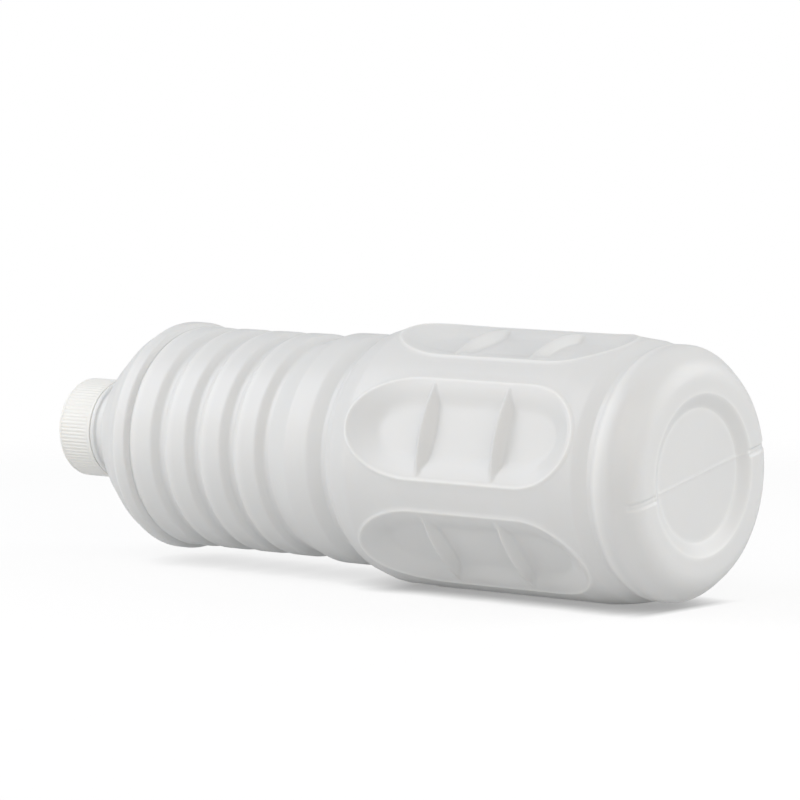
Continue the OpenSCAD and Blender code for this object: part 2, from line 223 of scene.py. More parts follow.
def body_corners():
    """Outline of the blown body from the middle of the base up to the neck."""
    corners = [
        (0, PUSH_UP, 0), (PUSH_DISC_R, PUSH_UP, 1.0), (FOOT_INNER_R, 0, 1.0),
        (FOOT_OUTER_R, 0, 10.0), (HEEL_R, HEEL_Z, 5.5), (HEEL_R, HEEL_TOP_Z, 1.8),
        (HEEL_GROOVE_R, HEEL_GROOVE_Z - HEEL_GROOVE_FLOOR / 2, 1.2),
        (HEEL_GROOVE_R, HEEL_GROOVE_Z + HEEL_GROOVE_FLOOR / 2, 1.2), (FLARE_R, FLARE_Z, 4.0),
        (GRIP_R, GRIP_LOW_Z, 20.0), (GRIP_R, GRIP_HIGH_Z, 9.0), (LEDGE_R, LEDGE_Z, 3.0),
        (WAIST_R, WAIST_Z - WAIST_FLOOR / 2, 2.0), (WAIST_R, WAIST_Z + WAIST_FLOOR / 2, 2.0),
        (WAIST_RING_R, WAIST_RING_LOW_Z, 4.0), (WAIST_RING_R, WAIST_RING_HIGH_Z, 4.0),
    ]
    for k in range(GROOVE_COUNT):
        corners += groove(GROOVE_LOW_Z + k * GROOVE_PITCH)
    corners += [
        (COLUMN_R, SHOULDER_GROOVE_Z - SHOULDER_GROOVE_HALF_W, 1.0),
        (SHOULDER_GROOVE_R, SHOULDER_GROOVE_Z - SHOULDER_GROOVE_FLOOR / 2, 0.5),
        (SHOULDER_GROOVE_R, SHOULDER_GROOVE_Z + SHOULDER_GROOVE_FLOOR / 2, 0.5),
        (SHOULDER_R, RING_LOW_Z, 1.0), (SHOULDER_R, RING_HIGH_Z, 2.0),
        (SHOULDER_DIP_R, SHOULDER_DIP_Z, 2.0), (DOME_FOOT_R, DOME_FOOT_Z, 5.0),
        (DOME_R, DOME_Z, 12.0), (COLLAR_R, ROOT_Z, 1.5),
    ]
    return corners


def neck_corners():
    """Outline from the neck's root over its two beads to the rim and into the bore."""
    corners = []
    for z, top_rounding in ((LOW_BEAD_Z, 0.5), (HIGH_BEAD_Z, 0.15)):
        corners += [(COLLAR_R, z - BEAD_HALF_W, 0.9), (BEAD_R, z - BEAD_TOP_HALF_W, 0.6),
                    (BEAD_R, z + BEAD_TOP_HALF_W, top_rounding)]
        if z == LOW_BEAD_Z:
            corners.append((COLLAR_R, z + BEAD_HALF_W, 0.9))
    corners += [(COLLAR_R, COLLAR_TOP_Z, 0.3), (FINISH_R, COLLAR_TOP_Z, 0.3),
                (FINISH_R, RIM_Z, 0.5), (BORE_R, RIM_Z, 0.4)]
    return corners


def panel_edge_degrees(z):
    """How far from a panel's middle its edge lies at height z: none above and below it."""
    low, high = PANEL_LOW_Z + PANEL_LOW_RUN, PANEL_HIGH_Z - PANEL_HIGH_RUN
    share = min(1, max((low - z) / PANEL_LOW_RUN, (z - high) / PANEL_HIGH_RUN, 0))
    return math.degrees(math.asin(PANEL_HALF_W * math.sqrt(1 - share * share) / GRIP_R))


def near_rib(z):
    """Whether height z is among the close rows at a cross rib."""
    return min(abs(z - RIB_MID_Z - side * RIB_PITCH / 2) for side in (-1, 1)) < RIB_REACH


def outer_step(z):
    """Longest step along the outer outline at height z: fine at panel tips and cross ribs, and
    on the base for the weld."""
    if z < HEEL_Z:
        return BASE_STEP
    if not PANEL_ZONE[0] < z < PANEL_ZONE[1]:
        return PLAIN_STEP
    if z < PANEL_LOW_Z + LOW_TIP or z > PANEL_HIGH_Z - HIGH_TIP:
        return TIP_STEP
    if near_rib(z):
        return RIB_STEP
    if z < PANEL_LOW_Z + LOW_RAMP or z > PANEL_HIGH_Z - HIGH_RAMP:
        return RAMP_STEP
    return PANEL_STEP


def inner_step(z):
    """Longest step along the inner outline at height z."""
    return INNER_RIB_STEP if near_rib(z) else INNER_STEP


# ======================================================================
# Meshes from outlines
# ======================================================================
def sector_shares():
    """Places across one sector of the bottle, from -1 to 1, close together at a panel's edges."""
    floor = [k / FLOOR_COLUMNS * (COLUMN_EDGE - FLOOR_MARGIN) for k in range(FLOOR_COLUMNS)]
    edge = [COLUMN_EDGE + k * EDGE_SPACING for k in EDGE_COLUMNS]
    half = sorted(floor + edge + LAND_SHARES)
    return [-x for x in reversed(half) if x > 0] + half + [1.0]


def plain_degrees(count):
    """Angles of evenly spaced columns."""
    return [360 * k / count for k in range(count)]


def column_degrees(z):
    """Angles of the outer skin's columns at height z. Among the panels they lean in to follow the
    panels' edges; at the foot more of them lie beside the pinch-off."""
    if z < HEEL_Z:
        seam = [middle + side * step for middle in (0, 180) for step in SEAM_DEGREES for side in (-1, 1)]
        return sorted(angle % 360 for angle in plain_degrees(PLAIN_COLUMNS) + seam)
    if not PANEL_ZONE[0] < z < PANEL_ZONE[1]:
        return plain_degrees(PLAIN_COLUMNS)
    edge = max(NARROW_DEGREES, panel_edge_degrees(z))
    sector = 360 / PANEL_COUNT
    half = sector / 2
    angles = []
    for k in range(PANEL_COUNT):
        for share in sector_shares():
            size = abs(share)
            if size <= COLUMN_EDGE:
                away = edge * size / COLUMN_EDGE
            else:
                away = edge + (half - edge) * (size - COLUMN_EDGE) / (1 - COLUMN_EDGE)
            angles.append(half + k * sector + math.copysign(away, share))
    return sorted(angle % 360 for angle in angles)


def strip_faces(low, high, low_angles, high_angles):
    """Faces between two rings of vertices. Rings with as many vertices get quads, others triangles."""
    n, m = len(low), len(high)
    if m == 1:
        return [(low[k], low[(k + 1) % n], high[0]) for k in range(n)]
    if n == 1:
        return [(low[0], high[(k + 1) % m], high[k]) for k in range(m)]
    if n == m:
        return [(low[k], low[(k + 1) % n], high[(k + 1) % n], high[k]) for k in range(n)]
    faces = []
    i = j = 0
    while i < n or j < m:
        next_low = low_angles[(i + 1) % n] + 360 * ((i + 1) // n) if i < n else math.inf
        next_high = high_angles[(j + 1) % m] + 360 * ((j + 1) // m) if j < m else math.inf
        if next_low <= next_high:
            faces.append((low[i % n], low[(i + 1) % n], high[j % m]))
            i += 1
        else:
            faces.append((low[i % n], high[(j + 1) % m], high[j % m]))
            j += 1
    return faces


def revolve(name, path, angle_rows):
    """A mesh turned from a path of (r, z), with its own angles for each point's ring. Points on
    the axis become poles."""
    verts, rings, faces = [], [], []
    for point, angles in zip(path, angle_rows):
        if point.x < TINY:
            angles = [0.0]
        rings.append((list(range(len(verts), len(verts) + len(angles))), angles))
        for angle in angles:
            a = math.radians(angle)
            verts.append((point.x * math.cos(a) * MM, point.x * math.sin(a) * MM, point.y * MM))
    for (low, low_angles), (high, high_angles) in zip(rings, rings[1:]):
        faces.extend(strip_faces(low, high, low_angles, high_angles))
    mesh = bpy.data.meshes.new(name)
    mesh.from_pydata(verts, [], faces)
    mesh.validate()
    mesh.update()
    mesh.shade_smooth()
    piece = bpy.data.objects.new(name, mesh)
    bpy.context.scene.collection.objects.link(piece)
    return piece


# ======================================================================
# Node helpers
# ======================================================================
class Tree:
    """A node tree of any kind, with short ways to add nodes to it."""

    def __init__(self, tree):
        self.tree = tree

    def node(self, kind, inputs=None, **settings):
        """A new node, with what its inputs hold or are linked to, and its settings."""
        made = self.tree.nodes.new(kind)
        for key, value in settings.items():
            setattr(made, key, value)
        for key, value in (inputs or {}).items():
            self.feed(made.inputs[key], value)
        return made

    def feed(self, socket, value):
        """Links the value to the socket if it is another node's output, or else sets it."""
        if isinstance(value, bpy.types.NodeSocket):
            self.tree.links.new(value, socket)
        else:
            socket.default_value = value

    def math(self, operation, *values):
        """The result of a Math node."""
        made = self.tree.nodes.new("ShaderNodeMath")
        made.operation = operation
        for socket, value in zip(made.inputs, values):
            self.feed(socket, value)
        return made.outputs[0]

    def add(self, a, b):
        return self.math("ADD", a, b)

    def sub(self, a, b):
        return self.math("SUBTRACT", a, b)

    def mul(self, a, b):
        return self.math("MULTIPLY", a, b)

    def div(self, a, b):
        return self.math("DIVIDE", a, b)

    def length(self, a, b):
        """The length of the vector (a, b)."""
        return self.math("SQRT", self.add(self.mul(a, a), self.mul(b, b)))

    def clamp(self, value):
        """The value held between 0 and 1."""
        return self.node("ShaderNodeClamp", {0: value}).outputs[0]


def geometry_tree(name, inputs):
    """A Geometry Nodes tree with a mesh input, named sizes in metres or counts, and a material."""
    tree = bpy.data.node_groups.new(name, "GeometryNodeTree")
    face = tree.interface
    face.new_socket("Geometry", in_out="INPUT", socket_type="NodeSocketGeometry")
    for label, value in inputs.items():
        kind = "NodeSocketInt" if isinstance(value, int) else "NodeSocketFloat"
        socket = face.new_socket(label, in_out="INPUT", socket_type=kind)
        socket.default_value = value
    face.new_socket("Material", in_out="INPUT", socket_type="NodeSocketMaterial")
    face.new_socket("Geometry", in_out="OUTPUT", socket_type="NodeSocketGeometry")
    t = Tree(tree)
    source = t.node("NodeGroupInput")
    return t, source.outputs


def end_tree(t, geometry, source):
    """Every tree ends in Realize Instances and Set Material."""
    real = t.node("GeometryNodeRealizeInstances", {"Geometry": geometry})
    painted = t.node("GeometryNodeSetMaterial", {
        "Geometry": real.outputs[0], "Material": source["Material"]})
    out = t.node("NodeGroupOutput")
    t.feed(out.inputs[0], painted.outputs[0])
    return t.tree


def apply_tree(piece, tree, material, **values):
    """Runs a tree on a piece with its named inputs and keeps the result as a plain mesh."""
    modifier = piece.modifiers.new(tree.name, "NODES")
    modifier.node_group = tree
    sockets = {item.name: item.identifier for item in tree.interface.items_tree
               if item.item_type == "SOCKET" and item.in_out == "INPUT"}
    modifier[sockets["Material"]] = material
    for label, value in values.items():
        modifier[sockets[label.replace("_", " ")]] = value
    graph = bpy.context.evaluated_depsgraph_get()
    result = bpy.data.meshes.new_from_object(piece.evaluated_get(graph))
    piece.modifiers.clear()
    old = piece.data
    piece.data = result
    bpy.data.meshes.remove(old)
    result.name = piece.name
    result.shade_smooth()
    return piece


def round_place(t):
    """A point's coordinates, its distance from the axis and its angle round it."""
    xyz = t.node("ShaderNodeSeparateXYZ", {0: t.node("GeometryNodeInputPosition").outputs[0]}).outputs
    return xyz, t.length(xyz[0], xyz[1]), t.math("ARCTAN2", xyz[1], xyz[0])


def at_radius(t, xyz, across, radius):
    """The point at the same height and angle, but at a new distance from the axis."""
    scale = t.div(radius, t.math("MAXIMUM", across, AXIS_R * MM))
    return t.node("ShaderNodeCombineXYZ", {
        0: t.mul(xyz[0], scale), 1: t.mul(xyz[1], scale), 2: xyz[2]}).outputs[0]


def point_value(t, name):
    """A number that the mesh keeps for each of its points."""
    return t.node("GeometryNodeInputNamedAttribute", {"Name": name}, data_type="FLOAT").outputs[0]


def empty_piece(name):
    """A piece with no mesh yet, for a tree that makes its own."""
    piece = bpy.data.objects.new(name, bpy.data.meshes.new(name))
    bpy.context.scene.collection.objects.link(piece)
    return piece


# ======================================================================
# Geometry Nodes: grip panels, cap ribs and screw threads
# ======================================================================
def panel_tree():
    """Presses the dished panels, with their cross ribs, into the grip section.

    The attribute depth_in says how far a point lies inside the outer skin, so both skins of
    the wall take the same shape."""
    t, size = geometry_tree("grip_panels", {
        "Panel Count": PANEL_COUNT, "Grip Radius": GRIP_R * MM, "Depth": PANEL_DEPTH * MM,
        "Half Width": PANEL_HALF_W * MM, "Low End": PANEL_LOW_Z * MM, "High End": PANEL_HIGH_Z * MM,
        "Low Run": PANEL_LOW_RUN * MM, "High Run": PANEL_HIGH_RUN * MM, "Floor Share": PANEL_FLOOR,
        "Low Blend": LOW_BLEND * MM, "High Blend": HIGH_BLEND * MM,
        "Lip Height": LIP_H * MM, "Lip Width": LIP_W * MM, "Lip Offset": LIP_OUT * MM,
        "Lip Painted Highlight": LIP_PAINTED_HIGHLIGHT, "Box Half Width": LIP_LIMIT * MM,
        "Rib Middle": RIB_MID_Z * MM, "Rib Pitch": RIB_PITCH * MM, "Rib Sink": RIB_SINK * MM,
        "Rib Crest": RIB_CREST_W * MM / 2, "Rib Side Run": RIB_SIDE_RUN,
        "Rim Rounding": PANEL_EDGE_BLEND * MM, "Foot Rounding": RIB_FOOT_BLEND * MM})
    xyz, across, angle = round_place(t)
    skin = point_value(t, "depth_in")
    radius = t.add(across, skin)

    # Angle from the nearest panel's middle
    step = t.div(2 * math.pi, size["Panel Count"])
    away = t.sub(t.math("FLOORED_MODULO", angle, step), t.div(step, 2))
    sideways = t.mul(size["Grip Radius"], t.math("SINE", away))

    # Share of the way from the panel's middle to its edge: 1 on the edge itself
    low = t.sub(t.add(size["Low End"], size["Low Run"]), xyz[2])
    high = t.sub(xyz[2], t.sub(size["High End"], size["High Run"]))
    end = t.math("MAXIMUM", t.div(low, size["Low Run"]), t.div(high, size["High Run"]))
    ends = t.math("MAXIMUM", end, 0.0)
    sides = t.div(sideways, size["Half Width"])
    share = t.length(ends, sides)

    # A flat floor, then walls that rise evenly to the edge; the floor blends in more at the top
    flat_x = t.sub(size["Grip Radius"], size["Depth"])
    skin_x = t.mul(size["Grip Radius"], t.math("COSINE", away))
    rise = t.div(t.sub(share, size["Floor Share"]), t.sub(1.0, size["Floor Share"]))
    wall_x = t.add(flat_x, t.mul(t.sub(skin_x, flat_x), rise))
    upper = t.clamp(t.div(t.sub(xyz[2], size["Low End"]), t.sub(size["High End"], size["Low End"])))
    blend = t.add(size["Low Blend"], t.mul(upper, t.sub(size["High Blend"], size["Low Blend"])))
    floor = t.div(t.math("SMOOTH_MAX", flat_x, wall_x, blend), t.math("COSINE", away))

    # Radius of the nearer cross rib at this height
    off = t.sub(t.math("ABSOLUTE", t.sub(xyz[2], size["Rib Middle"])), t.div(size["Rib Pitch"], 2))
    drop = t.div(t.sub(t.length(off, size["Rib Crest"]), size["Rib Crest"]), size["Rib Side Run"])
    rib = t.sub(t.sub(size["Grip Radius"], size["Rib Sink"]), drop)

    # A fine lip stands up along the edge, where the share, over its slope, is just past 1
    run_change = t.sub(size["High Run"], size["Low Run"])
    end_run = t.add(size["Low Run"], t.mul(t.math("GREATER_THAN", high, 0.0), run_change))
    slope = t.length(t.div(ends, end_run), t.div(sides, size["Half Width"]))
    past = t.div(t.sub(share, 1.0), t.math("MAXIMUM", slope, 1.0))
    off_lip = t.div(t.sub(past, size["Lip Offset"]), size["Lip Width"])
    lip = t.math("EXPONENT", t.mul(t.mul(off_lip, off_lip), -1.0))
    outer_lip = t.mul(lip, t.math("LESS_THAN", skin, OUTER_SKIN * MM))

    # The panel is pressed in and the lip held inside the box, which is narrowest across Y
    pressed = t.math("SMOOTH_MAX", floor, rib, size["Foot Rounding"])
    dished = t.math("SMOOTH_MIN", radius, pressed, size["Rim Rounding"])
    lipped = t.add(dished, t.mul(outer_lip, size["Lip Height"]))
    side_share = t.math("MAXIMUM", t.math("ABSOLUTE", t.math("SINE", angle)), 0.5)
    held = t.math("MINIMUM", lipped, t.div(size["Box Half Width"], side_share))

    # Only the grip section takes part
    above, below = (z * MM for z in PANEL_ZONE)
    in_zone = t.mul(t.math("GREATER_THAN", xyz[2], above), t.math("LESS_THAN", xyz[2], below))
    wide = t.mul(in_zone, t.math("GREATER_THAN", across, BORE_R * MM))
    # The lip's painted highlight, kept with the edges' painted highlights in the attribute rim
    lip_painted_highlight = t.mul(outer_lip, t.mul(wide, size["Lip Painted Highlight"]))
    marked = t.node("GeometryNodeStoreNamedAttribute", {
        "Geometry": size["Geometry"], "Name": "rim",
        "Value": t.math("MAXIMUM", point_value(t, "edge"), lip_painted_highlight)}, data_type="FLOAT", domain="POINT")
    shaped = t.node("GeometryNodeSetPosition", {
        "Geometry": marked.outputs[0], "Selection": wide,
        "Position": at_radius(t, xyz, across, t.sub(held, skin))})
    return end_tree(t, shaped.outputs[0], size)


def cap_rib_tree():
    """Raises fine upright ribs round a cap's skirt, fading out before its rim and its top edge."""
    t, size = geometry_tree("cap_ribs", {
        "Rib Count": CAP_RIBS, "Rib Height": CAP_RIB_H * MM, "Skirt Radius": CAP_SKIRT_R * MM,
        "Low End": CAP_RIBS_LOW_Z * MM, "High End": CAP_RIBS_HIGH_Z * MM, "Fade": CAP_RIB_FADE * MM})
    xyz, across, angle = round_place(t)
    wave = t.math("COSINE", t.mul(angle, size["Rib Count"]))
    raised = t.math("POWER", t.mul(t.add(wave, 1.0), 0.5), CAP_RIB_POWER)
    from_low = t.div(t.sub(xyz[2], size["Low End"]), size["Fade"])
    from_high = t.div(t.sub(size["High End"], xyz[2]), size["Fade"])
    within = t.clamp(t.math("MINIMUM", from_low, from_high))
    skirt = t.math("GREATER_THAN", across, t.sub(size["Skirt Radius"], SKIRT_MARGIN * MM))
    height = t.mul(t.mul(raised, within), t.mul(size["Rib Height"], skirt))
    shaped = t.node("GeometryNodeSetPosition", {
        "Geometry": size["Geometry"],
        "Position": at_radius(t, xyz, across, t.add(across, height))})
    return end_tree(t, shaped.outputs[0], size)


def thread_tree():
    """A screw thread: a trapezoid swept along a helix, its ends run out to nothing."""
    t, size = geometry_tree("screw_thread", {
        "Radius": FINISH_R * MM, "Start Height": THREAD_LOW_Z * MM, "Pitch": THREAD_PITCH * MM,
        "Turns": THREAD_TURNS, "Ridge Height": THREAD_H * MM,
        "Ridge Half Width": THREAD_HALF_W * MM, "Run Out": THREAD_RUN_OUT})
    spiral = t.node("GeometryNodeCurveSpiral", {
        "Resolution": THREAD_STEPS_PER_TURN, "Rotations": size["Turns"],
        "Start Radius": size["Radius"], "End Radius": size["Radius"],
        "Height": t.mul(size["Pitch"], size["Turns"])})
    upright = t.node("GeometryNodeSetCurveNormal", {0: spiral.outputs[0]}, mode="Z_UP")
    along = t.node("GeometryNodeSplineParameter").outputs["Factor"]
    taper = t.clamp(t.div(t.math("MINIMUM", along, t.sub(1.0, along)), size["Run Out"]))
    tapered = t.node("GeometryNodeSetCurveRadius", {
        0: upright.outputs[0], "Radius": t.math("MAXIMUM", taper, THREAD_END)})
    section = t.node("GeometryNodeCurvePrimitiveQuadrilateral", {
        "Bottom Width": t.mul(size["Ridge Half Width"], 2.0),
        "Top Width": t.mul(size["Ridge Half Width"], THREAD_CREST),
        "Height": t.mul(t.math("ABSOLUTE", size["Ridge Height"]), 2.0), "Offset": 0.0},
        mode="TRAPEZOID")
    ridge = t.node("GeometryNodeCurveToMesh", {
        0: tapered.outputs[0], 1: section.outputs[0], "Fill Caps": True})
    up = t.node("ShaderNodeCombineXYZ", {2: size["Start Height"]})
    lifted = t.node("GeometryNodeTransform", {0: ridge.outputs[0], "Translation": up.outputs[0]})
    return end_tree(t, lifted.outputs[0], size)


# ======================================================================
# Materials
# ======================================================================
def mottle_group():
    """Shared by the plastics: slow cloudiness and fine orange peel, read in object space."""
    group = bpy.data.node_groups.new("moulded_plastic_surface", "ShaderNodeTree")
    face = group.interface
    for label, value in (("Cloud Size", 30.0), ("Grain Size", 900.0), ("Seed", 0.0)):
        face.new_socket(label, in_out="INPUT", socket_type="NodeSocketFloat").default_value = value
    for label in ("Cloud", "Peel"):
        face.new_socket(label, in_out="OUTPUT", socket_type="NodeSocketFloat")
    t = Tree(group)
    source = t.node("NodeGroupInput").outputs
    place = t.node("ShaderNodeTexCoord").outputs["Object"]
    out = t.node("NodeGroupOutput")
    for label, scale, detail in (("Cloud", "Cloud Size", 3.0), ("Peel", "Grain Size", 2.0)):
        noise = t.node("ShaderNodeTexNoise", {
            "Vector": place, "W": source["Seed"], "Scale": source[scale], "Detail": detail},
            noise_dimensions="4D")
        t.feed(out.inputs[label], noise.outputs[0])
    return group


def mix_colours(t, factor, low, high):
    """The colour low where factor is 0 and high where it is 1."""
    mix = t.node("ShaderNodeMix", data_type="RGBA")
    # Inputs 6 and 7 and output 2 are the node's colours, which share their names with its numbers.
    for key, value in (("Factor", factor), (6, low), (7, high)):
        t.feed(mix.inputs[key], value)
    return mix.outputs[2]


def plastic(name, light, dark, roughness, cloud_size, grain_size, bump, subsurface, rim=None):
    """A moulded plastic: colour between light and dark, cloudy roughness, orange-peel bump.

    Where a piece has the attribute rim, its colour goes towards the rim colour: a painted highlight on
    sharp edges and panel lips."""
    material = bpy.data.materials.new(name)
    material.use_nodes = True
    t = Tree(material.node_tree)
    surface = t.node("ShaderNodeGroup", node_tree=MOTTLE)
    surface.inputs["Cloud Size"].default_value = cloud_size
    surface.inputs["Grain Size"].default_value = grain_size
    base = mix_colours(t, surface.outputs["Cloud"], (*dark, 1), (*light, 1))
    # Painted highlight: paler colour where the attribute rim marks a sharp edge or a panel lip
    if rim:
        edge = t.node("ShaderNodeAttribute", attribute_name="rim")
        base = mix_colours(t, edge.outputs["Fac"], base, (*rim, 1))
    rough = t.node("ShaderNodeMapRange", {
        "Value": surface.outputs["Cloud"], "From Min": 0.3, "From Max": 0.7,
        "To Min": roughness - ROUGHNESS_SPREAD, "To Max": roughness + ROUGHNESS_SPREAD})
    relief = t.node("ShaderNodeBump", {
        "Height": surface.outputs["Peel"], "Strength": bump, "Distance": PEEL_HEIGHT * MM})
    shader = material.node_tree.nodes["Principled BSDF"]
    for label, value in {
            "Base Color": base, "Roughness": rough.outputs[0], "Normal": relief.outputs[0],
            "IOR": 1.5, "Subsurface Weight": subsurface, "Subsurface Radius": (1.0, 0.9, 0.8),
            "Subsurface Scale": LIGHT_REACH * MM}.items():
        t.feed(shader.inputs[label], value)
    return material


# How much the roughness varies, the height of the orange peel and how far light goes into the
# plastic, the last two in millimetres
ROUGHNESS_SPREAD, PEEL_HEIGHT, LIGHT_REACH = 0.04, 0.04, 0.7
MOTTLE = mottle_group()
# The bottle's rim colour is the painted highlight on its sharp edges and panel lips
HDPE = plastic(
    "natural_hdpe", light=(0.805, 0.815, 0.81), dark=(0.77, 0.78, 0.78), rim=(0.89, 0.90, 0.89),
    roughness=0.36, cloud_size=22, grain_size=900, bump=0.25, subsurface=0.4)
CAP_PP = plastic(
    "white_cap_polypropylene", light=(0.93, 0.93, 0.90), dark=(0.90, 0.90, 0.87),
    roughness=0.48, cloud_size=60, grain_size=1400, bump=0.2, subsurface=0.3)
FOAM = plastic(
    "liner_foam", light=(0.88, 0.88, 0.86), dark=(0.80, 0.80, 0.79),
    roughness=0.7, cloud_size=400, grain_size=2200, bump=0.8, subsurface=0.0)


# ======================================================================
# Pieces
# ======================================================================
def press_pinch_off(piece):
    """The mould's pinch-off: a slot across the foot ring and up the heel, with the weld's low
    bead along its floor and across the push-up."""
    for vertex in piece.data.vertices:
        x, y, z = (value / MM for value in vertex.co)
        r = math.hypot(x, y)
        if z > HEEL_Z or abs(y) > SLOT_HALF_W or r > SLOT_OUTER_R or z > base_height(r) + WALL / 2:
            continue
        ends = max(0, min(1, (r - SLOT_INNER_R) / SLOT_END_RUN, (SLOT_OUTER_R - r) / SLOT_END_RUN))
        slot = SLOT_DEPTH * min(1, (SLOT_HALF_W - abs(y)) / SLOT_SIDE_RUN) * ends
        bead = WELD_H * math.exp(-(y / WELD_HALF_W) ** 2) * (ends if r > FOOT_INNER_R else 1)
        vertex.co.z += (slot - bead) * MM


def base_height(r):
    """Height of the foot's outer skin at radius r, before the slot is pressed."""
    to_heel_top = body_corners()[:6]
    foot = [point for point in rounded(to_heel_top) if point.y <= HEEL_Z]
    for a, b in zip(foot, foot[1:]):
        if a.x <= r <= b.x:
            return a.y + (b.y - a.y) * (r - a.x) / max(b.x - a.x, TINY)
    return HEEL_Z


def painted_highlight_edges():
    """Sharp edges of the outline (r, z) that get a painted highlight, with how strongly."""
    grooves = [(COLUMN_R, GROOVE_LOW_Z + k * GROOVE_PITCH - GROOVE_DOWN, 0.5)
               for k in range(1, GROOVE_COUNT)]
    return grooves + [
        (PUSH_DISC_R, PUSH_UP, 0.45), (FOOT_INNER_R, 0, 0.45), (HEEL_R, HEEL_TOP_Z, 0.8),
        (COLUMN_R, SHOULDER_GROOVE_Z - SHOULDER_GROOVE_HALF_W, 0.5), (SHOULDER_R, RING_HIGH_Z, 0.5),
        (COLLAR_R, (LOW_BEAD_Z + HIGH_BEAD_Z) / 2, 0.8), (BEAD_R, COLLAR_TOP_Z, 0.8)]


def edge_painted_highlight(r, z):
    """How strongly the outer skin at (r, z) takes the painted highlight of a sharp edge, from 0 to 1."""
    return max(share * math.exp(-((r - edge_r) ** 2 + (z - edge_z) ** 2) / HIGHLIGHT_REACH ** 2)
               for edge_r, edge_z, share in painted_highlight_edges())


def make_bottle():
    """The blown bottle: outer and inner skin, pinch-off, then panels, with the painted highlight on its
    edges marked.
    """
    outer = rounded(body_corners() + neck_corners() + [(BORE_R, HIGH_BEAD_Z, 0)])
    inner = rounded(moved(body_corners() + [(COLLAR_R, LOW_BEAD_Z, 0)], WALL)
                    + [(BORE_R, HIGH_BEAD_Z, 0)], INNER_ARC_DEGREES)
    inner.reverse()
    outer_path, inner_path = spaced(outer, outer_step), spaced(inner, inner_step)[1:]
    angle_rows = [column_degrees(point.y) for point in outer_path]
    angle_rows += [plain_degrees(INNER_COLUMNS) for _ in inner_path]
    piece = revolve("bottle_body", outer_path + inner_path, angle_rows)
    mark = piece.data.attributes.new("depth_in", "FLOAT", "POINT")
    outer_count = sum(1 if point.x < TINY else len(angles)
                      for point, angles in zip(outer_path, angle_rows))
    for item in mark.data[outer_count:]:
        item.value = WALL * MM
    # The attribute edge holds the painted highlight along the outline's sharp edges
    pale = piece.data.attributes.new("edge", "FLOAT", "POINT")
    for item, vertex in zip(pale.data[:outer_count], piece.data.vertices):
        item.value = edge_painted_highlight(math.hypot(vertex.co.x, vertex.co.y) / MM, vertex.co.z / MM)
    press_pinch_off(piece)
    apply_tree(piece, panel_tree(), HDPE)
    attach(piece, "bottle")
    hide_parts("bottle")


def thin_axis(path):
    """Drops most of the rings on the cap's flat top and ceiling, which need few faces."""
    kept = []
    for k, point in enumerate(path):
        flat = point.x < CAP_BORE_R - 1 and 0 < k < len(path) - 1
        if not flat or k % FLAT_RINGS == 0:
            kept.append(point)
    return kept


def make_cap():
    """The cap's shell, with its ribs."""
    outline = [
        (0, CAP_TOP_Z, 0), (CAP_EDGE_R, CAP_TOP_Z, 0.9), (CAP_EDGE_R, CAP_TOP_Z - CAP_EDGE_H, 0.2),
        (CAP_SKIRT_R, CAP_TOP_Z - CAP_EDGE_FOOT, 0), (CAP_SKIRT_R, CAP_RIBS_LOW_Z, 0),
        (CAP_BAND_R, CAP_RIM_Z + CAP_BAND_H, 0.15), (CAP_BAND_R, CAP_LOW_Z, 0.15),
        (CAP_BORE_R, CAP_LOW_Z, 0.35), (CAP_BORE_R, LINER_TOP_Z, 0.4), (0, LINER_TOP_Z, 0)]
    path = thin_axis(spaced(rounded(outline), lambda z: CAP_STEP))
    path.reverse()
    piece = revolve("cap_shell", path, [plain_degrees(CAP_RIBS * COLUMNS_PER_CAP_RIB)] * len(path))
    apply_tree(piece, cap_rib_tree(), CAP_PP)
    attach(piece, "cap")
    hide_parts("screw_cap")


def make_liner():
    """The foam disc, in the place and size of its solid."""
    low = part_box("cap_liner")[0].z / MM
    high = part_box("cap_liner")[1].z / MM
    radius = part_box("cap_liner")[1].x / MM
    outline = [(0, low, 0), (radius, low, 0.3), (radius, high, 0.3), (0, high, 0)]
    path = spaced(rounded(outline), lambda z: LINER_STEP)
    piece = revolve("liner_disc", path, [plain_degrees(LINER_COLUMNS)] * len(path))
    piece.data.materials.append(FOAM)
    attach(piece, "liner")
    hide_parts("cap_liner")


def make_threads():
    """The neck's thread, and the cap's on the wall of its bore."""
    tree = thread_tree()
    on_neck = apply_tree(empty_piece("neck_thread"), tree, HDPE)
    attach(on_neck, "bottle")
    in_cap = apply_tree(empty_piece("cap_thread"), tree, CAP_PP,
                        Radius=CAP_BORE_R * MM, Ridge_Height=CAP_THREAD_H * MM)
    # Half a turn puts the cap's thread midway between the turns of the neck's.
    in_cap.data.transform(Matrix.Rotation(math.pi, 4, "Z"))
    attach(in_cap, "cap")


# ======================================================================
# Camera, lights and floor
# ======================================================================
# Angles in degrees; distances, here and below, in metres
VIEW_AZIMUTH, VIEW_ELEVATION, VIEW_DISTANCE = 19.0, -35.06, 1.4036
VIEW_ROLL = -4.08195
AIM = Vector((-5.54, 16.09, 125.44)) * MM
# Focal length and film width, in the lens's own millimetres
LENS, SENSOR_WIDTH = 199.945, 36
# The direction that is up while the bottle lies, and a point near the middle of its length
FLOOR_UP_DEGREES = 101.7
CENTRE = Vector((0, 0, 0.12))

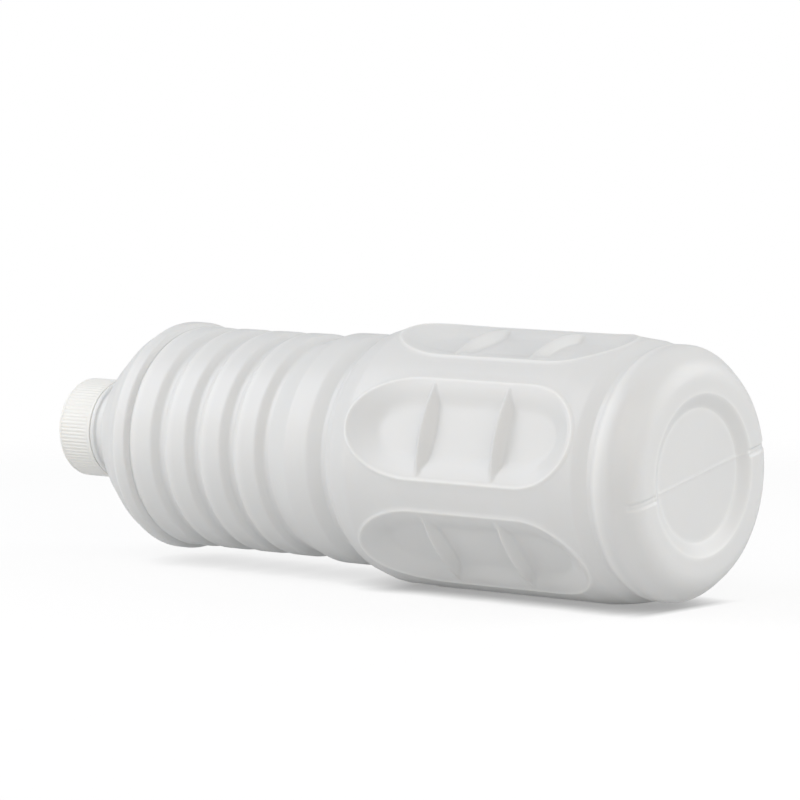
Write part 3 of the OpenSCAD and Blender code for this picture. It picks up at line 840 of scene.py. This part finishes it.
# Light: the even studio, then soft lamps placed by their share along the bottle towards its cap,
# upwards, and towards the camera, each with its power and colour
WORLD_LIGHT = 0.5
LAMP_DISTANCE, LAMP_SIZE = 0.9, 0.7
LAMPS = [
    ("key", 0.6, 0.65, 0.5, 2.6, (0.92, 0.94, 1.0)),
    ("back_light", -0.75, 0.5, -0.6, 2.4, (0.97, 0.98, 1.0)),
    ("base_light", -0.8, 0.45, 0.5, 1.7, (1.0, 0.92, 0.85)),
    ("front_fill", 0.7, 0.15, 0.8, 1.4, (1.0, 0.95, 0.88)),
]
# The floors: half their width, how far from the middle they reach before they have faded out and
# the share of that at which they start to, and the gap in millimetres between them and the bottle
FLOOR_HALF_W, LYING_REACH, STANDING_REACH, FADE_START = 0.7, 0.55, 0.6, 0.6
FLOOR_GAP = 0.05
# How much the floors return to the bottle and how much they glow back at it, and, as the
# camera sees them, how much of their light is real and how much is their own glow
FLOOR_BOUNCE, FLOOR_FILL = 0.6, 0.12
LYING_SEEN, LYING_GLOW = 0.22, 0.80
STANDING_SEEN, STANDING_GLOW = 0.5, 0.48
# The contact shadow under the lying bottle: its reach, the openness at which it has gone, how
# deep it is, the heights along the bottle between which it starts and fades out, and the share
# of it that is left beyond them
CONTACT_REACH, CONTACT_OPEN, CONTACT_DEPTH = 0.013, 0.88, 0.60
CONTACT_START, CONTACT_END = (0.004, 0.010), (0.110, 0.135)
CONTACT_COLUMN = 0.3
CONTACT_SAMPLES = 16
WHITE = (1, 1, 1, 1)


def camera_axes():
    """Where the camera stands, and its right, up and back directions."""
    azimuth, elevation = math.radians(VIEW_AZIMUTH), math.radians(VIEW_ELEVATION)
    place = VIEW_DISTANCE * Vector((math.cos(elevation) * math.cos(azimuth),
                                    math.cos(elevation) * math.sin(azimuth), math.sin(elevation)))
    ahead = (AIM - place).normalized()
    towards_foot = Vector((0, 0, -1))
    level = (towards_foot - ahead * towards_foot.dot(ahead)).normalized()
    down = ahead.cross(level)
    roll = math.radians(VIEW_ROLL)
    right = math.cos(roll) * level + math.sin(roll) * down
    up = math.sin(roll) * level - math.cos(roll) * down
    return place, right, up, -ahead


def make_camera():
    """The main view's camera."""
    place, right, up, back = camera_axes()
    data = bpy.data.cameras.new("camera")
    data.lens = LENS
    data.sensor_width = SENSOR_WIDTH
    camera = bpy.data.objects.new("camera", data)
    turned = Matrix((right, up, back)).transposed().to_4x4()
    camera.matrix_world = Matrix.Translation(place) @ turned
    bpy.context.scene.collection.objects.link(camera)
    bpy.context.scene.camera = camera


def area_lamp(name, place, aim, power, colour):
    """A round lamp at place, turned towards aim."""
    data = bpy.data.lights.new(name, "AREA")
    data.shape = "DISK"
    data.size = LAMP_SIZE
    data.energy = power
    data.color = colour
    lamp = bpy.data.objects.new(name, data)
    turned = (place - aim).to_track_quat("Z", "Y").to_matrix().to_4x4()
    lamp.matrix_world = Matrix.Translation(place) @ turned
    bpy.context.scene.collection.objects.link(lamp)


def make_world(strength):
    """An even studio of this strength, which the camera sees as plain white."""
    world = bpy.data.worlds.new("studio")
    bpy.context.scene.world = world
    world.use_nodes = True
    t = Tree(world.node_tree)
    world.node_tree.nodes.clear()
    path = t.node("ShaderNodeLightPath").outputs
    seen = t.math("MAXIMUM", path["Is Camera Ray"], path["Is Transmission Ray"])
    level = t.node("ShaderNodeMapRange", {"Value": seen, "To Min": strength, "To Max": 1.0})
    light = t.node("ShaderNodeBackground", {"Color": WHITE, "Strength": level.outputs[0]})
    out = t.node("ShaderNodeOutputWorld")
    t.feed(out.inputs["Surface"], light.outputs[0])


def contact_shadow(t, place):
    """How openly the floor lies to the light, for the narrow shadow along the lying bottle."""
    open_sky = t.node("ShaderNodeAmbientOcclusion", {"Distance": CONTACT_REACH}, samples=CONTACT_SAMPLES)
    shade = t.node("ShaderNodeMapRange", {"Value": open_sky.outputs["AO"], "From Max": CONTACT_OPEN},
                   interpolation_type="SMOOTHSTEP")
    height = t.node("ShaderNodeSeparateXYZ", {0: place}).outputs[2]
    start = t.node("ShaderNodeMapRange", {
        "Value": height, "From Min": CONTACT_START[0], "From Max": CONTACT_START[1],
        "To Max": CONTACT_DEPTH})
    end = t.node("ShaderNodeMapRange", {
        "Value": height, "From Min": CONTACT_END[0], "From Max": CONTACT_END[1],
        "To Min": 1.0, "To Max": CONTACT_COLUMN})
    depth = t.mul(start.outputs[0], end.outputs[0])
    return t.sub(1.0, t.mul(t.sub(1.0, shade.outputs[0]), depth))


def floor_material(name, centre, reach, standing):
    """Matt white, seen from its front only, whose edge fades out into the white world.

    To the camera it is darker but lit by its own glow, so shadows on it stay light."""
    material = bpy.data.materials.new(name)
    material.use_nodes = True
    material.node_tree.nodes.clear()
    t = Tree(material.node_tree)
    place = t.node("ShaderNodeTexCoord").outputs["Object"]
    seen = t.node("ShaderNodeLightPath").outputs["Is Camera Ray"]
    colour = t.node("ShaderNodeMapRange", {
        "Value": seen, "To Min": FLOOR_BOUNCE, "To Max": STANDING_SEEN if standing else LYING_SEEN})
    seen_glow = STANDING_GLOW if standing else t.mul(contact_shadow(t, place), LYING_GLOW)
    strength = t.node("ShaderNodeMapRange", {"Value": seen, "To Min": FLOOR_FILL, "To Max": seen_glow})
    matt = t.node("ShaderNodeBsdfDiffuse", {"Color": colour.outputs[0]})
    glow = t.node("ShaderNodeEmission", {"Color": WHITE, "Strength": strength.outputs[0]})
    both = t.node("ShaderNodeAddShader", {0: matt.outputs[0], 1: glow.outputs[0]})
    away = t.node("ShaderNodeVectorMath", {0: place, 1: tuple(centre)}, operation="DISTANCE")
    fade = t.node("ShaderNodeMapRange", {
        "Value": away.outputs["Value"], "From Min": reach * FADE_START, "From Max": reach,
        "To Min": 1.0, "To Max": 0.0}, interpolation_type="SMOOTHSTEP")
    front = t.sub(1.0, t.node("ShaderNodeNewGeometry").outputs["Backfacing"])
    shown = t.mul(fade.outputs[0], front)
    if standing:
        shown = t.mul(shown, seen)
    clear = t.node("ShaderNodeBsdfTransparent")
    mix = t.node("ShaderNodeMixShader", {0: shown, 1: clear.outputs[0], 2: both.outputs[0]})
    out = t.node("ShaderNodeOutputMaterial")
    t.feed(out.inputs["Surface"], mix.outputs[0])
    return material


def floor_sheet(name, middle, normal, material):
    """A square sheet with its front towards normal."""
    side = normal.orthogonal().normalized()
    other = normal.cross(side)
    corners = [middle + FLOOR_HALF_W * (a * side + b * other)
               for a, b in ((-1, -1), (1, -1), (1, 1), (-1, 1))]
    mesh = bpy.data.meshes.new(name)
    mesh.from_pydata([tuple(c) for c in corners], [], [(0, 1, 2, 3)])
    mesh.materials.append(material)
    sheet = bpy.data.objects.new(name, mesh)
    bpy.context.scene.collection.objects.link(sheet)


def make_stage():
    """The bottle lies on its side for the main view, and stands on its foot in the others."""
    up = math.radians(FLOOR_UP_DEGREES)
    lying_up = Vector((math.cos(up), math.sin(up), 0))
    along_bottle = Vector((0, 0, 1))
    under = CENTRE - lying_up * (GRIP_R + FLOOR_GAP) * MM
    floor_sheet("lying_floor", under, lying_up,
                floor_material("lying_floor_white", under, LYING_REACH, False))
    foot = Vector((0, 0, -FLOOR_GAP * MM))
    floor_sheet("standing_floor", foot, along_bottle,
                floor_material("standing_floor_white", foot, STANDING_REACH, True))
    make_world(WORLD_LIGHT)
    towards_camera = lying_up.cross(along_bottle)
    for name, along, upward, forward, power, colour in LAMPS:
        away = along * along_bottle + upward * lying_up + forward * towards_camera
        area_lamp(name, CENTRE + LAMP_DISTANCE * away.normalized(), CENTRE, power, colour)


make_camera()
make_bottle()
make_cap()
make_liner()
make_threads()
make_stage()
bpy.context.scene.view_settings.view_transform = "Standard"
